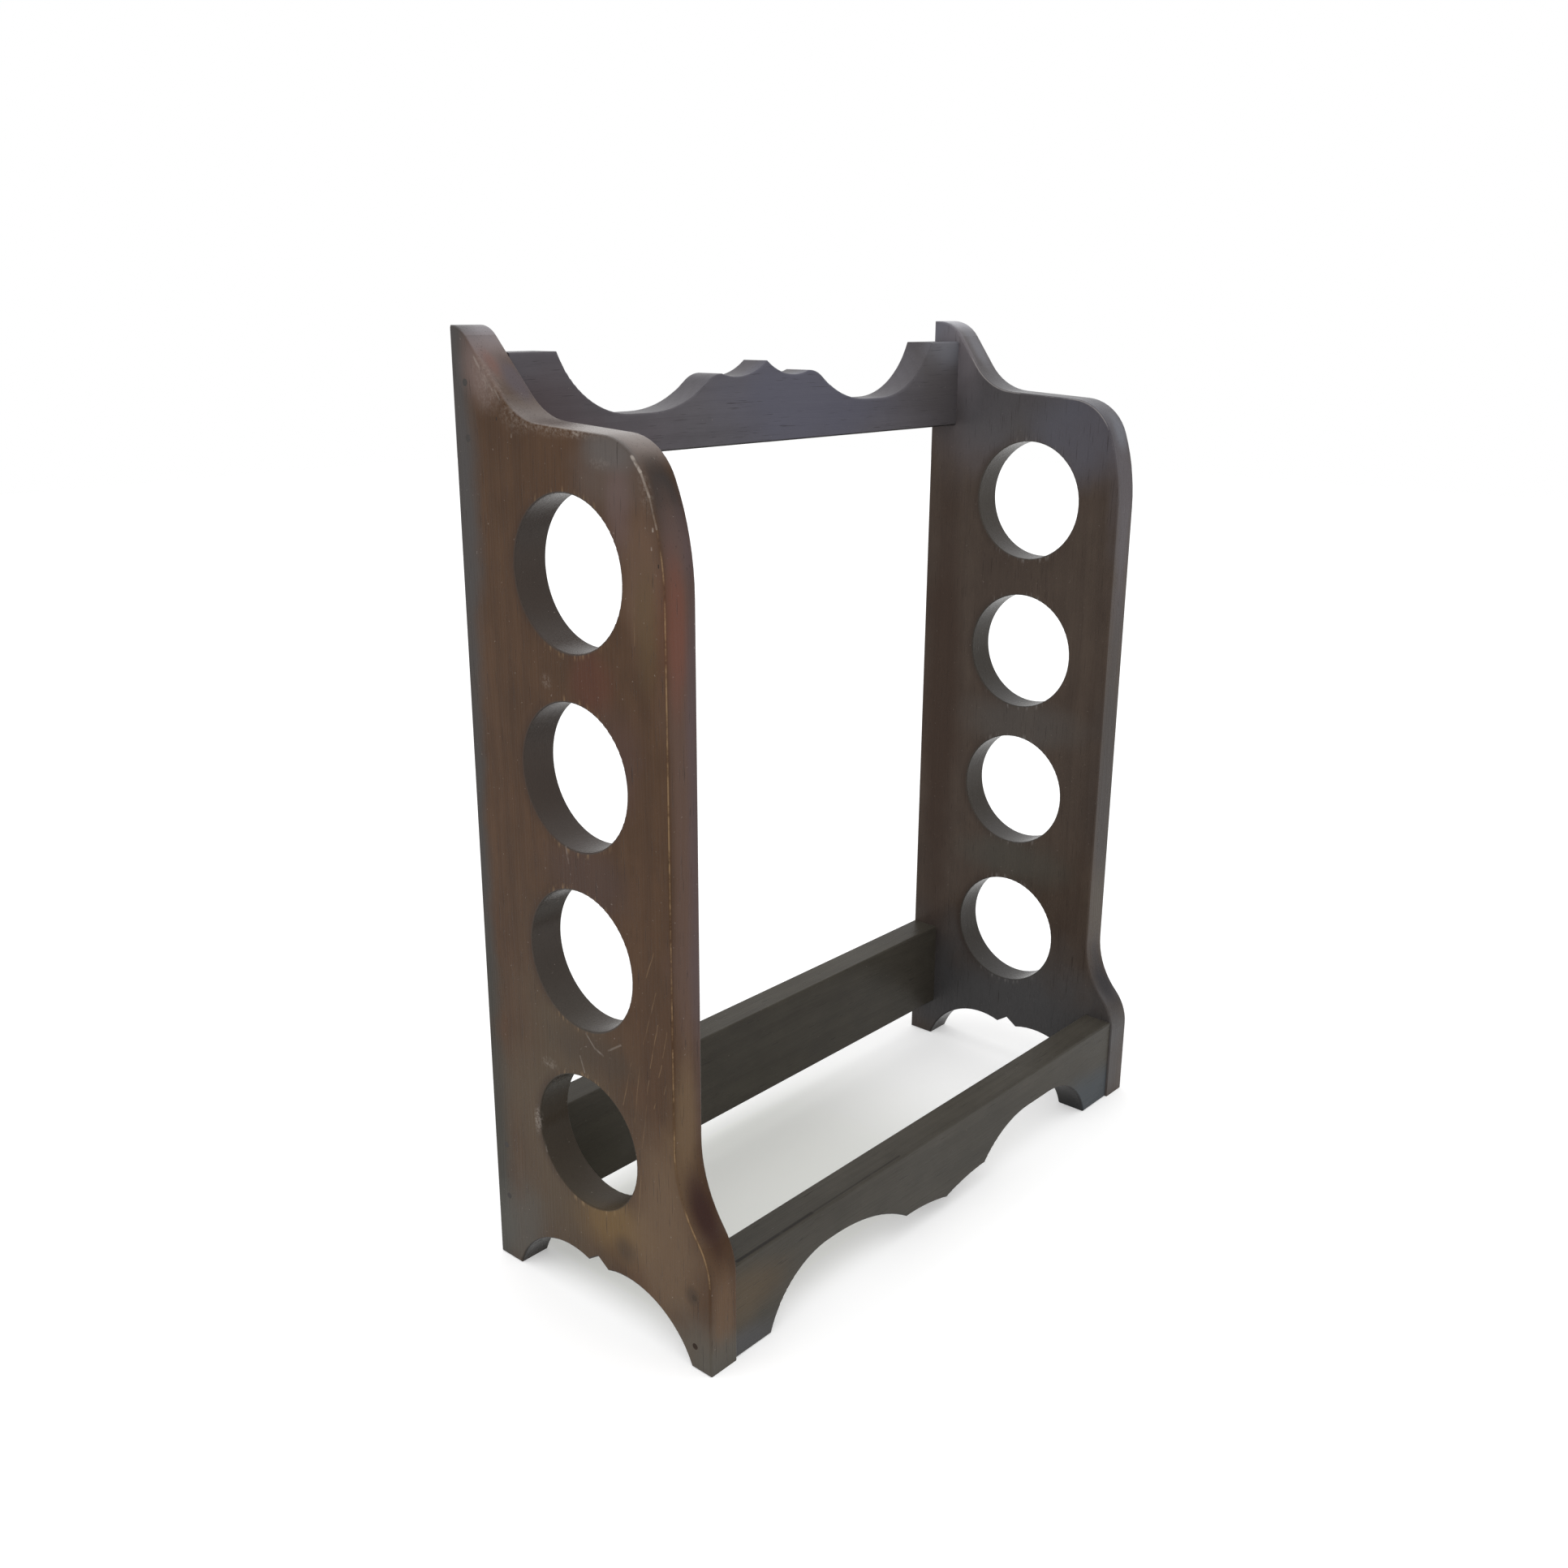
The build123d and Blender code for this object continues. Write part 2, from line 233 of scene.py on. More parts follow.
def make_bored_hole():
    """The wall of a hole bored along X, torn fibres over and under it, and painted shade behind it."""
    tree, given, hand_on = effect(
        "bored_hole",
        {"Place": "Vector", "Centre": "Vector", "Radius": "Float", "Splinters": "Float"},
        {"Wall": "Float", "Torn": "Float", "Pooled": "Float"},
    )
    from_centre = vector(tree, "SUBTRACT", given["Place"], given["Centre"])
    spoke = vector(tree, "MULTIPLY", from_centre, (0.0, 1.0, 1.0))
    past_wall = number(tree, "SUBTRACT", vector(tree, "LENGTH", spoke), given["Radius"])
    rise = number(tree, "ABSOLUTE", vector(tree, "DOT_PRODUCT", spoke, (0.0, 0.0, 1.0)))
    steep = ease(tree, number(tree, "DIVIDE", rise, given["Radius"]), 0.7, 1.0)
    torn = number(tree, "MULTIPLY", steep, given["Splinters"])
    torn = number(tree, "MULTIPLY", torn, ease(tree, past_wall, RIM_START, 2 * RIM_START))
    torn = number(tree, "MULTIPLY", torn, ease(tree, past_wall, SPLINTER_REACH, SPLINTER_REACH / 4))
    rearward = number(tree, "DIVIDE", vector(tree, "DOT_PRODUCT", spoke, (0.0, 1.0, 0.0)), given["Radius"])
    painted_shade = number(tree, "MULTIPLY", ease(tree, rearward, 0.1, 0.9), ease(tree, past_wall, RIM_SHADE_REACH, 0.0))
    hand_on(Wall=ease(tree, past_wall, WALL_SKIN, WALL_SKIN / 12), Torn=torn, Pooled=painted_shade)
    return tree


sawn_grain = make_sawn_grain()
rubbed_arris = make_rubbed_arris()
soft_patch = make_soft_patch()
fine_scratch = make_fine_scratch()
worn_specks = make_worn_specks()
bored_hole = make_bored_hole()

bores = [mount for mount in frame["record"]["mounts"] if mount["kind"] == "bore"]


CLOUDING = 0.9
PORE_SHARE = 0.5
UNDERSIDE_SHADE_SHARE = 0.85
SCRATCH_WAVER = 0.0024
RIM_SHADE_SHARE = 0.55
WALL_SHARE = 0.75
TORN_SHARE = 0.22
SMOOTHER = 0.06
ROUGHER = 0.08
FIGURE_ROUGHNESS = 0.06
WORN_ROUGHNESS = 0.2
GRAIN_DEPTH = 0.0003


def patched(tree, wood, patches, place, cloud):
    """Cloudy patches of stain or painted light and shade, each with its middle, reach, colour and share."""
    for centre, reach, stain, share in patches:
        patch = use(tree, soft_patch, Place=place, Centre=centre, Reach=reach, Cloud=cloud)
        wood = overlay(tree, number(tree, "MULTIPLY", patch["Cover"], share), wood, stain)
    return wood


def scored(tree, worn, lines, place, breaks):
    """A mask of wear with thin lines added, each with its two ends, width and share."""
    for start, end, width, share in lines:
        line = use(tree, fine_scratch, Place=place, Start=start, End=end, Width=width, Breaks=breaks)
        worn = number(tree, "MAXIMUM", worn, number(tree, "MULTIPLY", line["Cover"], share))
    return worn


def stained_wood(tree, place, cloud, grain, fibre_axis, look):
    """Sound wood: figure, late wood, end grain with painted sheen, patches, pores, painted shade beneath."""
    normal = wire(tree, "NewGeometry").outputs["Normal"]
    wood = overlay(tree, grain["Figure"], *look["stain"])
    late = number(tree, "MULTIPLY", grain["Rings"], look["ring_share"])
    wood = overlay(tree, late, wood, look["late_wood_and_shade"])
    across = number(tree, "ABSOLUTE", vector(tree, "DOT_PRODUCT", normal, fibre_axis))
    # End grain is painted pale grey with near-white patches: real end grain with a painted sheen on the tops.
    end_wood = patched(tree, look["end_grain_and_sheen"], look["painted_top_sheen"], place, cloud)
    end_cover = number(tree, "MULTIPLY", ease(tree, across, 0.45, 0.98), look["end_share"])
    wood = overlay(tree, end_cover, wood, end_wood)
    wood = patched(tree, wood, look["patches"], place, cloud)
    wood = overlay(tree, number(tree, "MULTIPLY", grain["Pores"], PORE_SHARE), wood, look["pore"])
    # Faces that look down are painted dark: a painted shade.
    painted_underside_shade = ease(tree, vector(tree, "DOT_PRODUCT", normal, (0.0, 0.0, -1.0)), 0.02, 0.5)
    return overlay(tree, number(tree, "MULTIPLY", painted_underside_shade, UNDERSIDE_SHADE_SHARE), wood, look["painted_underside_shade"])


def rubbed_bare(tree, place, cloud, face, look):
    """Finish rubbed through on arrises and in fine scratches; pale grey there is partly painted highlight."""
    cover = look["rubbed"]
    for centre, reach, more in look["rubs_and_sheen"]:
        patch = use(tree, soft_patch, Place=place, Centre=centre, Reach=reach, Cloud=cloud)
        cover = number(tree, "MULTIPLY_ADD", patch["Cover"], more, cover)
    edge = use(tree, rubbed_arris, Place=place, Face=face, Cover=cover)
    bare_and_sheen = number(tree, "MULTIPLY", edge["Rubbed"], look["rubbed_share"])
    waver = mottle(tree, place, scale=45.0, detail=3.0)["Color"]
    waver = vector(tree, "SUBTRACT", waver, (0.5, 0.5, 0.5))
    wavered = vector(tree, "ADD", place, vector(tree, "SCALE", waver, scale=SCRATCH_WAVER))
    breaks = ease(tree, mottle(tree, place, scale=70.0, detail=4.0)["Fac"], 0.22, 0.6)
    return scored(tree, bare_and_sheen, look["scratches"], wavered, breaks)


def chipped_pale(tree, place, cloud, look):
    """Where the varnish is broken to a pale grey: pricks all over, scuffs and small chips."""
    specks = use(tree, worn_specks, Place=place)
    chipped = number(tree, "MULTIPLY", specks["Pricked"], look["specks"])
    for centre, reach, share in look["scuffs"]:
        patch = use(tree, soft_patch, Place=place, Centre=centre, Reach=reach, Cloud=cloud)
        scuffed = number(tree, "MULTIPLY", patch["Cover"], specks["Scuffed"])
        chipped = number(tree, "MAXIMUM", chipped, number(tree, "MULTIPLY", scuffed, share))
    crumbs = ease(tree, mottle(tree, place, scale=300.0, detail=4.0)["Fac"], 0.25, 0.6)
    return scored(tree, chipped, look["chips"], place, crumbs)


def bored_through(tree, wood, bare_and_sheen, place, look):
    """The wood and its rubbed mask, with what boring the holes did to them, and painted shade by them."""
    splinters = mottle(tree, drawn_out(tree, place, 0.12), scale=520.0, detail=3.0)["Fac"]
    splinters = ease(tree, splinters, 0.54, 0.68)
    for bore, wall in zip(bores, look["hole_walls_and_shade"]):
        radius = bore["dims"]["r_mm"] / 1000
        hole = use(tree, bored_hole, Place=place, Centre=bore["pos_m"], Radius=radius, Splinters=splinters)
        # A painted shade on the face behind each hole, in the late-wood colour.
        wood = overlay(tree, number(tree, "MULTIPLY", hole["Pooled"], RIM_SHADE_SHARE), wood, look["late_wood_and_shade"])
        wood = overlay(tree, number(tree, "MULTIPLY", hole["Wall"], WALL_SHARE), wood, wall)
        bare_and_sheen = number(tree, "MAXIMUM", bare_and_sheen, number(tree, "MULTIPLY", hole["Torn"], TORN_SHARE))
    return wood, bare_and_sheen


def stained_board(name, along, look):
    """Stained and varnished plank, its fibres along X or Z, with the marks that its look lists."""
    material = bpy.data.materials.new(name)
    material.use_nodes = True
    tree = material.node_tree
    tree.nodes.clear()
    upright = along == "Z"
    place = wire(tree, "TexCoord").outputs["Object"]
    fibre_place = place
    if not upright:
        turn = {"Vector": place, "Rotation": (0.0, radians(-90), 0.0)}
        fibre_place = wire(tree, "Mapping", turn).outputs["Vector"]
    fibre_axis = (0.0, 0.0, 1.0) if upright else (1.0, 0.0, 0.0)
    face = (1.0, 0.0, 0.0) if upright else (0.0, 1.0, 0.0)
    grain = use(tree, sawn_grain, Place=fibre_place, Pith=look["pith"], Ring_Width=look["ring_width"])
    cloud = mottle(tree, place, scale=26.0, detail=3.0)["Fac"]
    cloud = number(tree, "MULTIPLY_ADD", cloud, CLOUDING, -CLOUDING / 2)

    wood = stained_wood(tree, place, cloud, grain, fibre_axis, look)
    if look["checks"]:
        steady = ease(tree, mottle(tree, place, scale=60.0)["Fac"], 0.2, 0.4)
        wood = overlay(tree, scored(tree, 0.0, look["checks"], place, steady), wood, look["pore"])
    bare_and_sheen = rubbed_bare(tree, place, cloud, face, look)
    chipped = chipped_pale(tree, place, cloud, look)
    if upright:
        wood, bare_and_sheen = bored_through(tree, wood, bare_and_sheen, place, look)
    wood = overlay(tree, bare_and_sheen, wood, look["bare_and_sheen"])
    wood = overlay(tree, chipped, wood, look["chipped"])

    polish = mottle(tree, place, scale=14.0, detail=3.0)["Fac"]
    rough = ease(tree, polish, 0.25, 0.75, look["roughness"] - SMOOTHER, look["roughness"] + ROUGHER)
    rough = number(tree, "MULTIPLY_ADD", grain["Figure"], FIGURE_ROUGHNESS, rough)
    worn = number(tree, "MAXIMUM", bare_and_sheen, chipped)
    rough = number(tree, "MULTIPLY_ADD", worn, WORN_ROUGHNESS, rough, clamp=True)
    bump = wire(tree, "Bump", {"Strength": 0.3, "Distance": GRAIN_DEPTH, "Height": grain["Height"]})

    inputs = {"Base Color": wood, "Roughness": rough, "Normal": bump.outputs["Normal"]}
    shader = wire(tree, "BsdfPrincipled", {**inputs, "Specular IOR Level": look["gloss"]})
    wire(tree, "OutputMaterial", {"Surface": shader.outputs["BSDF"]})
    return material


def dress(name, material):
    """Give a piece its material."""
    piece = frame["nodes"][name]
    piece.data.materials.clear()
    piece.data.materials.append(material)


def points_on(board):
    """Gives points of an end board: mm from its rear edge, over the floor and in from its left face."""
    low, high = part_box(board)

    def point(from_rear, height, inward=0.0):
        return (low.x + inward / 1000, high.y - from_rear / 1000, height / 1000)

    return point


on_left = points_on("left_end_board")
left_look = {
    "stain": (colour(65, 45, 29), colour(86, 62, 43)),
    "late_wood_and_shade": colour(54, 38, 29),
    "ring_share": 0.15,
    "ring_width": 0.0065,
    "pith": (-0.275, -0.012, 0.0),
    "pore": colour(32, 24, 20),
    # Pale grey end grain, partly a painted sheen on the tops.
    "end_grain_and_sheen": colour(116, 107, 103),
    "end_share": 0.85,
    "painted_top_sheen": [
        # Near-white on the horn top and the shoulder top: painted highlights.
        (on_left(4, 490, 10), (0.040, 0.027, 0.024), colour(206, 200, 207), 0.95),
        (on_left(98, 446, 10), (0.040, 0.036, 0.020), colour(156, 148, 144), 0.8),
    ],
    # The colour of the faces that look down: a painted shade.
    "painted_underside_shade": colour(34, 31, 29),
    # The first, lowest hole's wall is painted darker: a painted shade.
    "hole_walls_and_shade": [colour(59, 54, 46), colour(70, 66, 62), colour(70, 64, 60), colour(70, 64, 60)],
    "bare_and_sheen": colour(188, 156, 116),
    "chipped": colour(208, 198, 188),
    "rubbed": 0.24,
    "rubbed_share": 0.38,
    "roughness": 0.24,
    "gloss": 0.1,
    "specks": 0.16,
    "patches": [
        # These three grey bands down the rear of the face are a painted sheen.
        (on_left(0, 430), (0.03, 0.017, 0.16), colour(72, 69, 68), 0.95),
        (on_left(0, 250), (0.03, 0.011, 0.16), colour(65, 62, 60), 0.95),
        (on_left(0, 60), (0.03, 0.017, 0.17), colour(56, 55, 50), 0.95),
        (on_left(19, 473), (0.02, 0.014, 0.020), colour(124, 107, 104), 0.5),
        (on_left(25, 478, 6), (0.0060, 0.010, 0.012), colour(122, 86, 76), 0.6),
        (on_left(30, 469, 14), (0.0080, 0.014, 0.020), colour(90, 83, 90), 0.7),
        (on_left(25, 468, 1), (0.0018, 0.016, 0.018), colour(126, 108, 100), 0.5),
        (on_left(123, 388), (0.012, 0.015, 0.044), colour(106, 83, 67), 0.6),
        (on_left(89, 338), (0.012, 0.018, 0.018), colour(92, 50, 39), 0.42),
        (on_left(126, 366), (0.012, 0.010, 0.030), colour(86, 70, 40), 0.35),
        (on_left(105, 300), (0.02, 0.020, 0.030), colour(76, 56, 52), 0.5),
        (on_left(104, 430), (0.012, 0.026, 0.022), colour(94, 82, 76), 0.6),
        (on_left(110, 416), (0.012, 0.010, 0.024), colour(104, 86, 84), 0.5),
        (on_left(106, 440), (0.004, 0.020, 0.011), colour(94, 90, 88), 0.7),
        (on_left(80, 240), (0.02, 0.040, 0.020), colour(74, 58, 54), 0.5),
        (on_left(60, 100), (0.03, 0.060, 0.120), colour(82, 70, 55), 0.75),
        (on_left(80, 148), (0.012, 0.036, 0.014), colour(64, 53, 44), 0.5),
        (on_left(18, 20), (0.03, 0.028, 0.040), colour(81, 79, 73), 0.7),
        (on_left(92, 56), (0.012, 0.034, 0.024), colour(112, 88, 54), 0.8),
        (on_left(101, 46), (0.012, 0.012, 0.010), colour(62, 50, 42), 0.6),
        (on_left(130, 60), (0.014, 0.030, 0.064), colour(106, 86, 66), 0.75),
        (on_left(154, 8), (0.03, 0.034, 0.030), colour(92, 86, 77), 0.75),
        (on_left(148, 41), (0.004, 0.0055, 0.007), colour(54, 45, 38), 0.5),
        (on_left(132, 420, 9.5), (0.0100, 0.022, 0.026), colour(50, 48, 48), 0.85),
        (on_left(136, 399, 11), (0.0110, 0.014, 0.020), colour(90, 76, 78), 0.7),
        (on_left(137, 300, 9), (0.0095, 0.012, 0.240), colour(96, 75, 66), 0.7),
        (on_left(137, 366, 7), (0.0085, 0.012, 0.040), colour(114, 68, 54), 0.6),
        (on_left(137, 130, 8), (0.0110, 0.012, 0.050), colour(112, 90, 64), 0.65),
        (on_left(137, 280, 18), (0.008, 0.012, 0.190), colour(88, 74, 76), 0.7),
        (on_left(146, 80, 10), (0.0100, 0.016, 0.032), colour(54, 33, 28), 0.95),
        (on_left(160, 30, 10), (0.0105, 0.016, 0.030), colour(104, 80, 58), 0.75),
        (on_left(160, 0, 10), (0.020, 0.016, 0.022), colour(86, 83, 76), 0.8),
    ],
    "rubs_and_sheen": [
        (on_left(137, 250), (0.006, 0.012, 0.230), 0.30),
        (on_left(126, 430), (0.006, 0.014, 0.022), 0.12),
        (on_left(150, 65), (0.006, 0.014, 0.034), 0.32),
        (on_left(40, 458), (0.006, 0.030, 0.022), 0.06),
    ],
    "scuffs": [
        (on_left(28, 466), (0.006, 0.016, 0.016), 0.12),
        (on_left(46, 453), (0.006, 0.014, 0.010), 0.18),
        (on_left(80, 448), (0.010, 0.034, 0.005), 0.24),
        (on_left(99, 434), (0.006, 0.008, 0.003), 0.11),
        (on_left(128, 428), (0.003, 0.006, 0.014), 0.14),
        (on_left(37, 95), (0.003, 0.003, 0.009), 0.40),
        (on_left(48, 132), (0.003, 0.008, 0.004), 0.20),
        (on_left(58, 332), (0.003, 0.004, 0.004), 0.16),
    ],
    "scratches": [
        (on_left(126, 215), on_left(121, 201), 0.0004, 0.18),
        (on_left(127, 195), on_left(118, 166), 0.0004, 0.17),
        (on_left(128, 179), on_left(122, 155), 0.0004, 0.23),
        (on_left(134, 177), on_left(131, 163), 0.0004, 0.20),
        (on_left(130, 159), on_left(128, 152), 0.0004, 0.18),
        (on_left(133, 150), on_left(131, 144), 0.0004, 0.20),
        (on_left(115, 154), on_left(110, 121), 0.0004, 0.15),
        (on_left(121, 148), on_left(115, 109), 0.0004, 0.18),
        (on_left(109, 153), on_left(102, 128), 0.0004, 0.17),
        (on_left(126, 139), on_left(124, 134), 0.0004, 0.17),
        (on_left(114, 94), on_left(111, 66), 0.0004, 0.15),
        (on_left(119, 374), on_left(118, 357), 0.0004, 0.13),
    ],
    "chips": [
        (on_left(119, 438, 0.3), on_left(124, 432, 0.3), 0.0010, 0.52),
        (on_left(124, 432, 0.3), on_left(129, 422, 0.3), 0.0008, 0.30),
        (on_left(129, 422, 0.3), on_left(133, 409, 0.3), 0.0006, 0.16),
        (on_left(131, 409), on_left(131, 408), 0.0007, 0.38),
        (on_left(130, 401), on_left(130, 400), 0.0006, 0.26),
        (on_left(17, 476), on_left(21, 471), 0.0009, 0.16),
        (on_left(22, 469), on_left(25, 464), 0.0009, 0.13),
        (on_left(24, 468), on_left(29, 462), 0.0009, 0.14),
        (on_left(31, 462), on_left(34, 458), 0.0008, 0.14),
        (on_left(51, 448), on_left(52, 447), 0.0008, 0.30),
        (on_left(58, 447), on_left(59, 446), 0.0008, 0.30),
        (on_left(41, 443), on_left(41, 442), 0.0007, 0.18),
        (on_left(83, 446), on_left(86, 445), 0.0009, 0.28),
        (on_left(67, 255), on_left(69, 245), 0.0007, 0.16),
        (on_left(77, 158), on_left(83, 152), 0.0007, 0.16),
        (on_left(83, 152), on_left(89, 150), 0.0008, 0.19),
        (on_left(102, 160), on_left(93, 154), 0.0007, 0.14),
        (on_left(72, 144), on_left(75, 136), 0.0007, 0.14),
        (on_left(38, 97), on_left(43, 79), 0.0007, 0.17),
    ],
    "checks": [
        (on_left(31, 450), on_left(31, 449), 0.0006, 0.8),
        (on_left(134, 394), on_left(134, 393), 0.0006, 0.8),
    ],
}
dress("left_end_board", stained_board("left_end_board_stain", "Z", left_look))

on_right = points_on("right_end_board")
right_look = {
    **left_look,
    "stain": (colour(64, 53, 46), colour(80, 68, 59)),
    "late_wood_and_shade": colour(54, 44, 38),
    "pith": (0.26, 0.015, 0.0),
    # Pale grey end grain, partly a painted sheen on the tops.
    "end_grain_and_sheen": colour(118, 117, 121),
    "painted_top_sheen": [
        # Near-white on the horn top: a painted highlight.
        (on_right(10, 488, 10), (0.040, 0.055, 0.040), colour(186, 186, 194), 0.9),
    ],
    "hole_walls_and_shade": [colour(62, 59, 55), colour(67, 63, 58), colour(63, 60, 55), colour(72, 68, 63)],
    # Pale grey along the arrises: partly rubbed bare wood, partly a painted highlight.
    "bare_and_sheen": colour(164, 159, 156),
    "rubbed_share": 0.5,
    "specks": 0.08,
    "patches": [
        # Painted light, lifting the shade in the corner under the crest rail's end.
        (on_right(28, 440), (0.012, 0.036, 0.060), colour(92, 85, 86), 0.8),
        (on_right(70, 450), (0.03, 0.090, 0.055), colour(82, 81, 84), 0.75),
        (on_right(112, 428), (0.03, 0.040, 0.034), colour(88, 88, 98), 0.6),
        (on_right(80, 40), (0.03, 0.140, 0.060), colour(76, 77, 79), 0.8),
        (on_right(80, 146), (0.03, 0.050, 0.020), colour(76, 76, 70), 0.5),
        (on_right(80, 240), (0.03, 0.055, 0.020), colour(84, 81, 78), 0.5),
        (on_right(16, 250), (0.03, 0.018, 0.190), colour(56, 41, 32), 0.75),
        (on_right(137, 390, 10), (0.012, 0.010, 0.110), colour(88, 83, 87), 0.8),
        (on_right(137, 220, 10), (0.012, 0.010, 0.140), colour(64, 58, 55), 0.9),
        (on_right(137, 130, 10), (0.012, 0.010, 0.030), colour(82, 74, 64), 0.7),
        (on_right(148, 82, 10), (0.012, 0.016, 0.034), colour(47, 45, 47), 0.9),
        # These four pale grey-blue patches on the horn and shoulder tops and edges are a painted sheen.
        (on_right(24, 474, 12), (0.0095, 0.018, 0.022), colour(120, 120, 126), 0.7),
        (on_right(128, 428, 12), (0.0095, 0.014, 0.016), colour(114, 116, 124), 0.7),
        (on_right(8, 483), (0.004, 0.016, 0.014), colour(109, 109, 118), 0.9),
        (on_right(21, 468), (0.004, 0.022, 0.032), colour(119, 114, 118), 0.8),
    ],
    # Rubbed places by the horn and shoulder tops, partly a painted highlight.
    "rubs_and_sheen": [
        (on_right(40, 460), (0.006, 0.034, 0.034), 0.42),
        (on_right(110, 436), (0.006, 0.040, 0.024), 0.36),
    ],
    "scuffs": [],
    "scratches": [],
    "chips": [],
    "checks": [],
}
dress("right_end_board", stained_board("right_end_board_stain", "Z", right_look))


# The crest rail
# A short plank across the rear, its top edge sawn to two valleys and a pointed brow, with the grain along it.
# Glued and nailed between the end boards, flush with their rear edges.

crest_low, crest_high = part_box("crest_rail")
crest_look = {
    **left_look,
    "stain": (colour(82, 79, 83), colour(97, 94, 99)),
    "late_wood_and_shade": colour(72, 68, 72),
    "pore": colour(52, 48, 51),
    "pith": (-0.40, 0.11, 0.0),
    "ring_width": 0.005,
    "end_share": 0.0,
    "painted_top_sheen": [],
    "roughness": 0.34,
    "patches": [
        ((crest_low.x, crest_low.y, crest_low.z), (0.110, 0.020, 0.050), colour(80, 68, 70), 0.8),
        ((0.03, crest_low.y, crest_low.z + 0.02), (0.080, 0.012, 0.040), colour(90, 90, 104), 0.7),
        # Darker at the right end by the right board: a tone of the stain with a painted corner shade.
        ((crest_high.x, crest_low.y, crest_low.z + 0.03), (0.055, 0.030, 0.070), colour(80, 76, 77), 0.85),
        ((crest_high.x, crest_low.y, crest_high.z), (0.034, 0.012, 0.020), colour(108, 108, 114), 0.85),
    ],
    "specks": 0.1,
    "rubs_and_sheen": [],
    "scuffs": [],
    "scratches": [],
    "chips": [],
    "checks": [],
}
dress("crest_rail", stained_board("crest_rail_stain", "X", crest_look))


# The back rail
# A plain strip of the same plank, low at the rear, glued and nailed between the end boards.
# Little handled, it is the darkest of the pieces.

back_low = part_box("back_rail")[0]
back_look = {
    **crest_look,
    "stain": (colour(61, 57, 51), colour(75, 71, 63)),
    "late_wood_and_shade": colour(52, 48, 43),
    "pore": colour(36, 33, 29),
    "pith": (-0.02, 0.13, 0.0),
    # Darker at its left end, low behind the near board: a painted shade.
    "patches": [((back_low.x, back_low.y, back_low.z), (0.090, 0.012, 0.070), colour(52, 48, 36), 0.7)],
}
dress("back_rail", stained_board("back_rail_stain", "X", back_look))


# The front apron
# A plank on edge, glued and nailed between the front feet, its lower edge sawn to two arches and a pendant.
# The stain lies thin at its left foot, and a dark line runs along its top front edge.

apron_low, apron_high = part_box("front_apron")
streak_start = (apron_low.x + 0.003, apron_low.y + 0.0018, apron_high.z)
streak_end = (-0.120, apron_low.y + 0.0020, apron_high.z)
streak_tail = (-0.045, apron_low.y + 0.0022, apron_high.z)
apron_look = {
    **crest_look,
    "stain": (colour(61, 58, 52), colour(78, 74, 67)),
    "late_wood_and_shade": colour(52, 49, 43),
    "pore": colour(34, 30, 26),
    "pith": (-0.03, -0.14, 0.0),
    "patches": [
        ((apron_low.x, apron_low.y, 0.032), (0.045, 0.015, 0.022), colour(96, 78, 54), 0.5),
        ((apron_low.x, apron_low.y, 0.000), (0.050, 0.030, 0.018), colour(82, 82, 84), 0.7),
        ((apron_high.x - 0.02, apron_low.y, 0.004), (0.060, 0.030, 0.026), colour(64, 71, 77), 0.8),
    ],
    "checks": [(streak_start, streak_end, 0.0014, 0.95), (streak_end, streak_tail, 0.0009, 0.6)],
}
dress("front_apron", stained_board("front_apron_stain", "X", apron_look))


# The nails
# Finish nails of bright drawn steel, two through each end of each rail, driven below the surface.
# Nothing of them shows once the filler is in.

def drawn_steel():
    """Bright wire, dulled a little, with faint draw marks along it."""
    material = bpy.data.materials.new("drawn_steel")
    material.use_nodes = True
    tree = material.node_tree
    shader = tree.nodes["Principled BSDF"]
    place = wire(tree, "TexCoord").outputs["Object"]
    marks = mottle(tree, vector(tree, "MULTIPLY", place, (0.05, 1.0, 1.0)), scale=4000.0)["Fac"]
    steel = overlay(tree, marks, colour(120, 120, 122), colour(168, 168, 168))
    tree.links.new(steel, shader.inputs["Base Color"])
    tree.links.new(ease(tree, marks, 0.2, 0.8, 0.3, 0.45), shader.inputs["Roughness"])
    shader.inputs["Metallic"].default_value = 1.0
    return material


nail_steel = drawn_steel()
for name in frame["nodes"]:
    if "_nail_" in name:
        dress(name, nail_steel)


# The filler
# Dark wood filler pressed in over each nail's head and rubbed level with the board.
# It dried a little darker and duller than the stain around it, and is worn paler on the apron's upper nails.

def wood_filler(name, dark, light):
    """Fine dull paste with a crumbly grain."""
    material = bpy.data.materials.new(name)
    material.use_nodes = True
    tree = material.node_tree
    shader = tree.nodes["Principled BSDF"]
    place = wire(tree, "TexCoord").outputs["Object"]
    crumb = mottle(tree, place, scale=2400.0, detail=3.0)["Fac"]
    tree.links.new(overlay(tree, crumb, dark, light), shader.inputs["Base Color"])
    bump = wire(tree, "Bump", {"Strength": 0.4, "Distance": 0.0002, "Height": crumb})
    tree.links.new(bump.outputs["Normal"], shader.inputs["Normal"])
    shader.inputs["Roughness"].default_value = 0.7
    shader.inputs["Specular IOR Level"].default_value = 0.1
    return material


dark_filler = wood_filler("dark_filler", colour(44, 34, 28), colour(58, 46, 38))
worn_filler = wood_filler("worn_filler", colour(62, 51, 42), colour(76, 64, 54))
rear_filler = wood_filler("rear_filler", colour(64, 61, 59), colour(76, 72, 70))
fillers = {"apron_filler_lower": dark_filler, "apron_filler_upper": worn_filler, "rail_filler": rear_filler}
for name in frame["nodes"]:
    for kind, filler in fillers.items():
        if kind in name:
            dress(name, filler)


# The floor and the light
# A plain white floor that runs out to a white surround, under a broad soft light from above.
# Inside the rack it is a little shaded, most of all at the left.

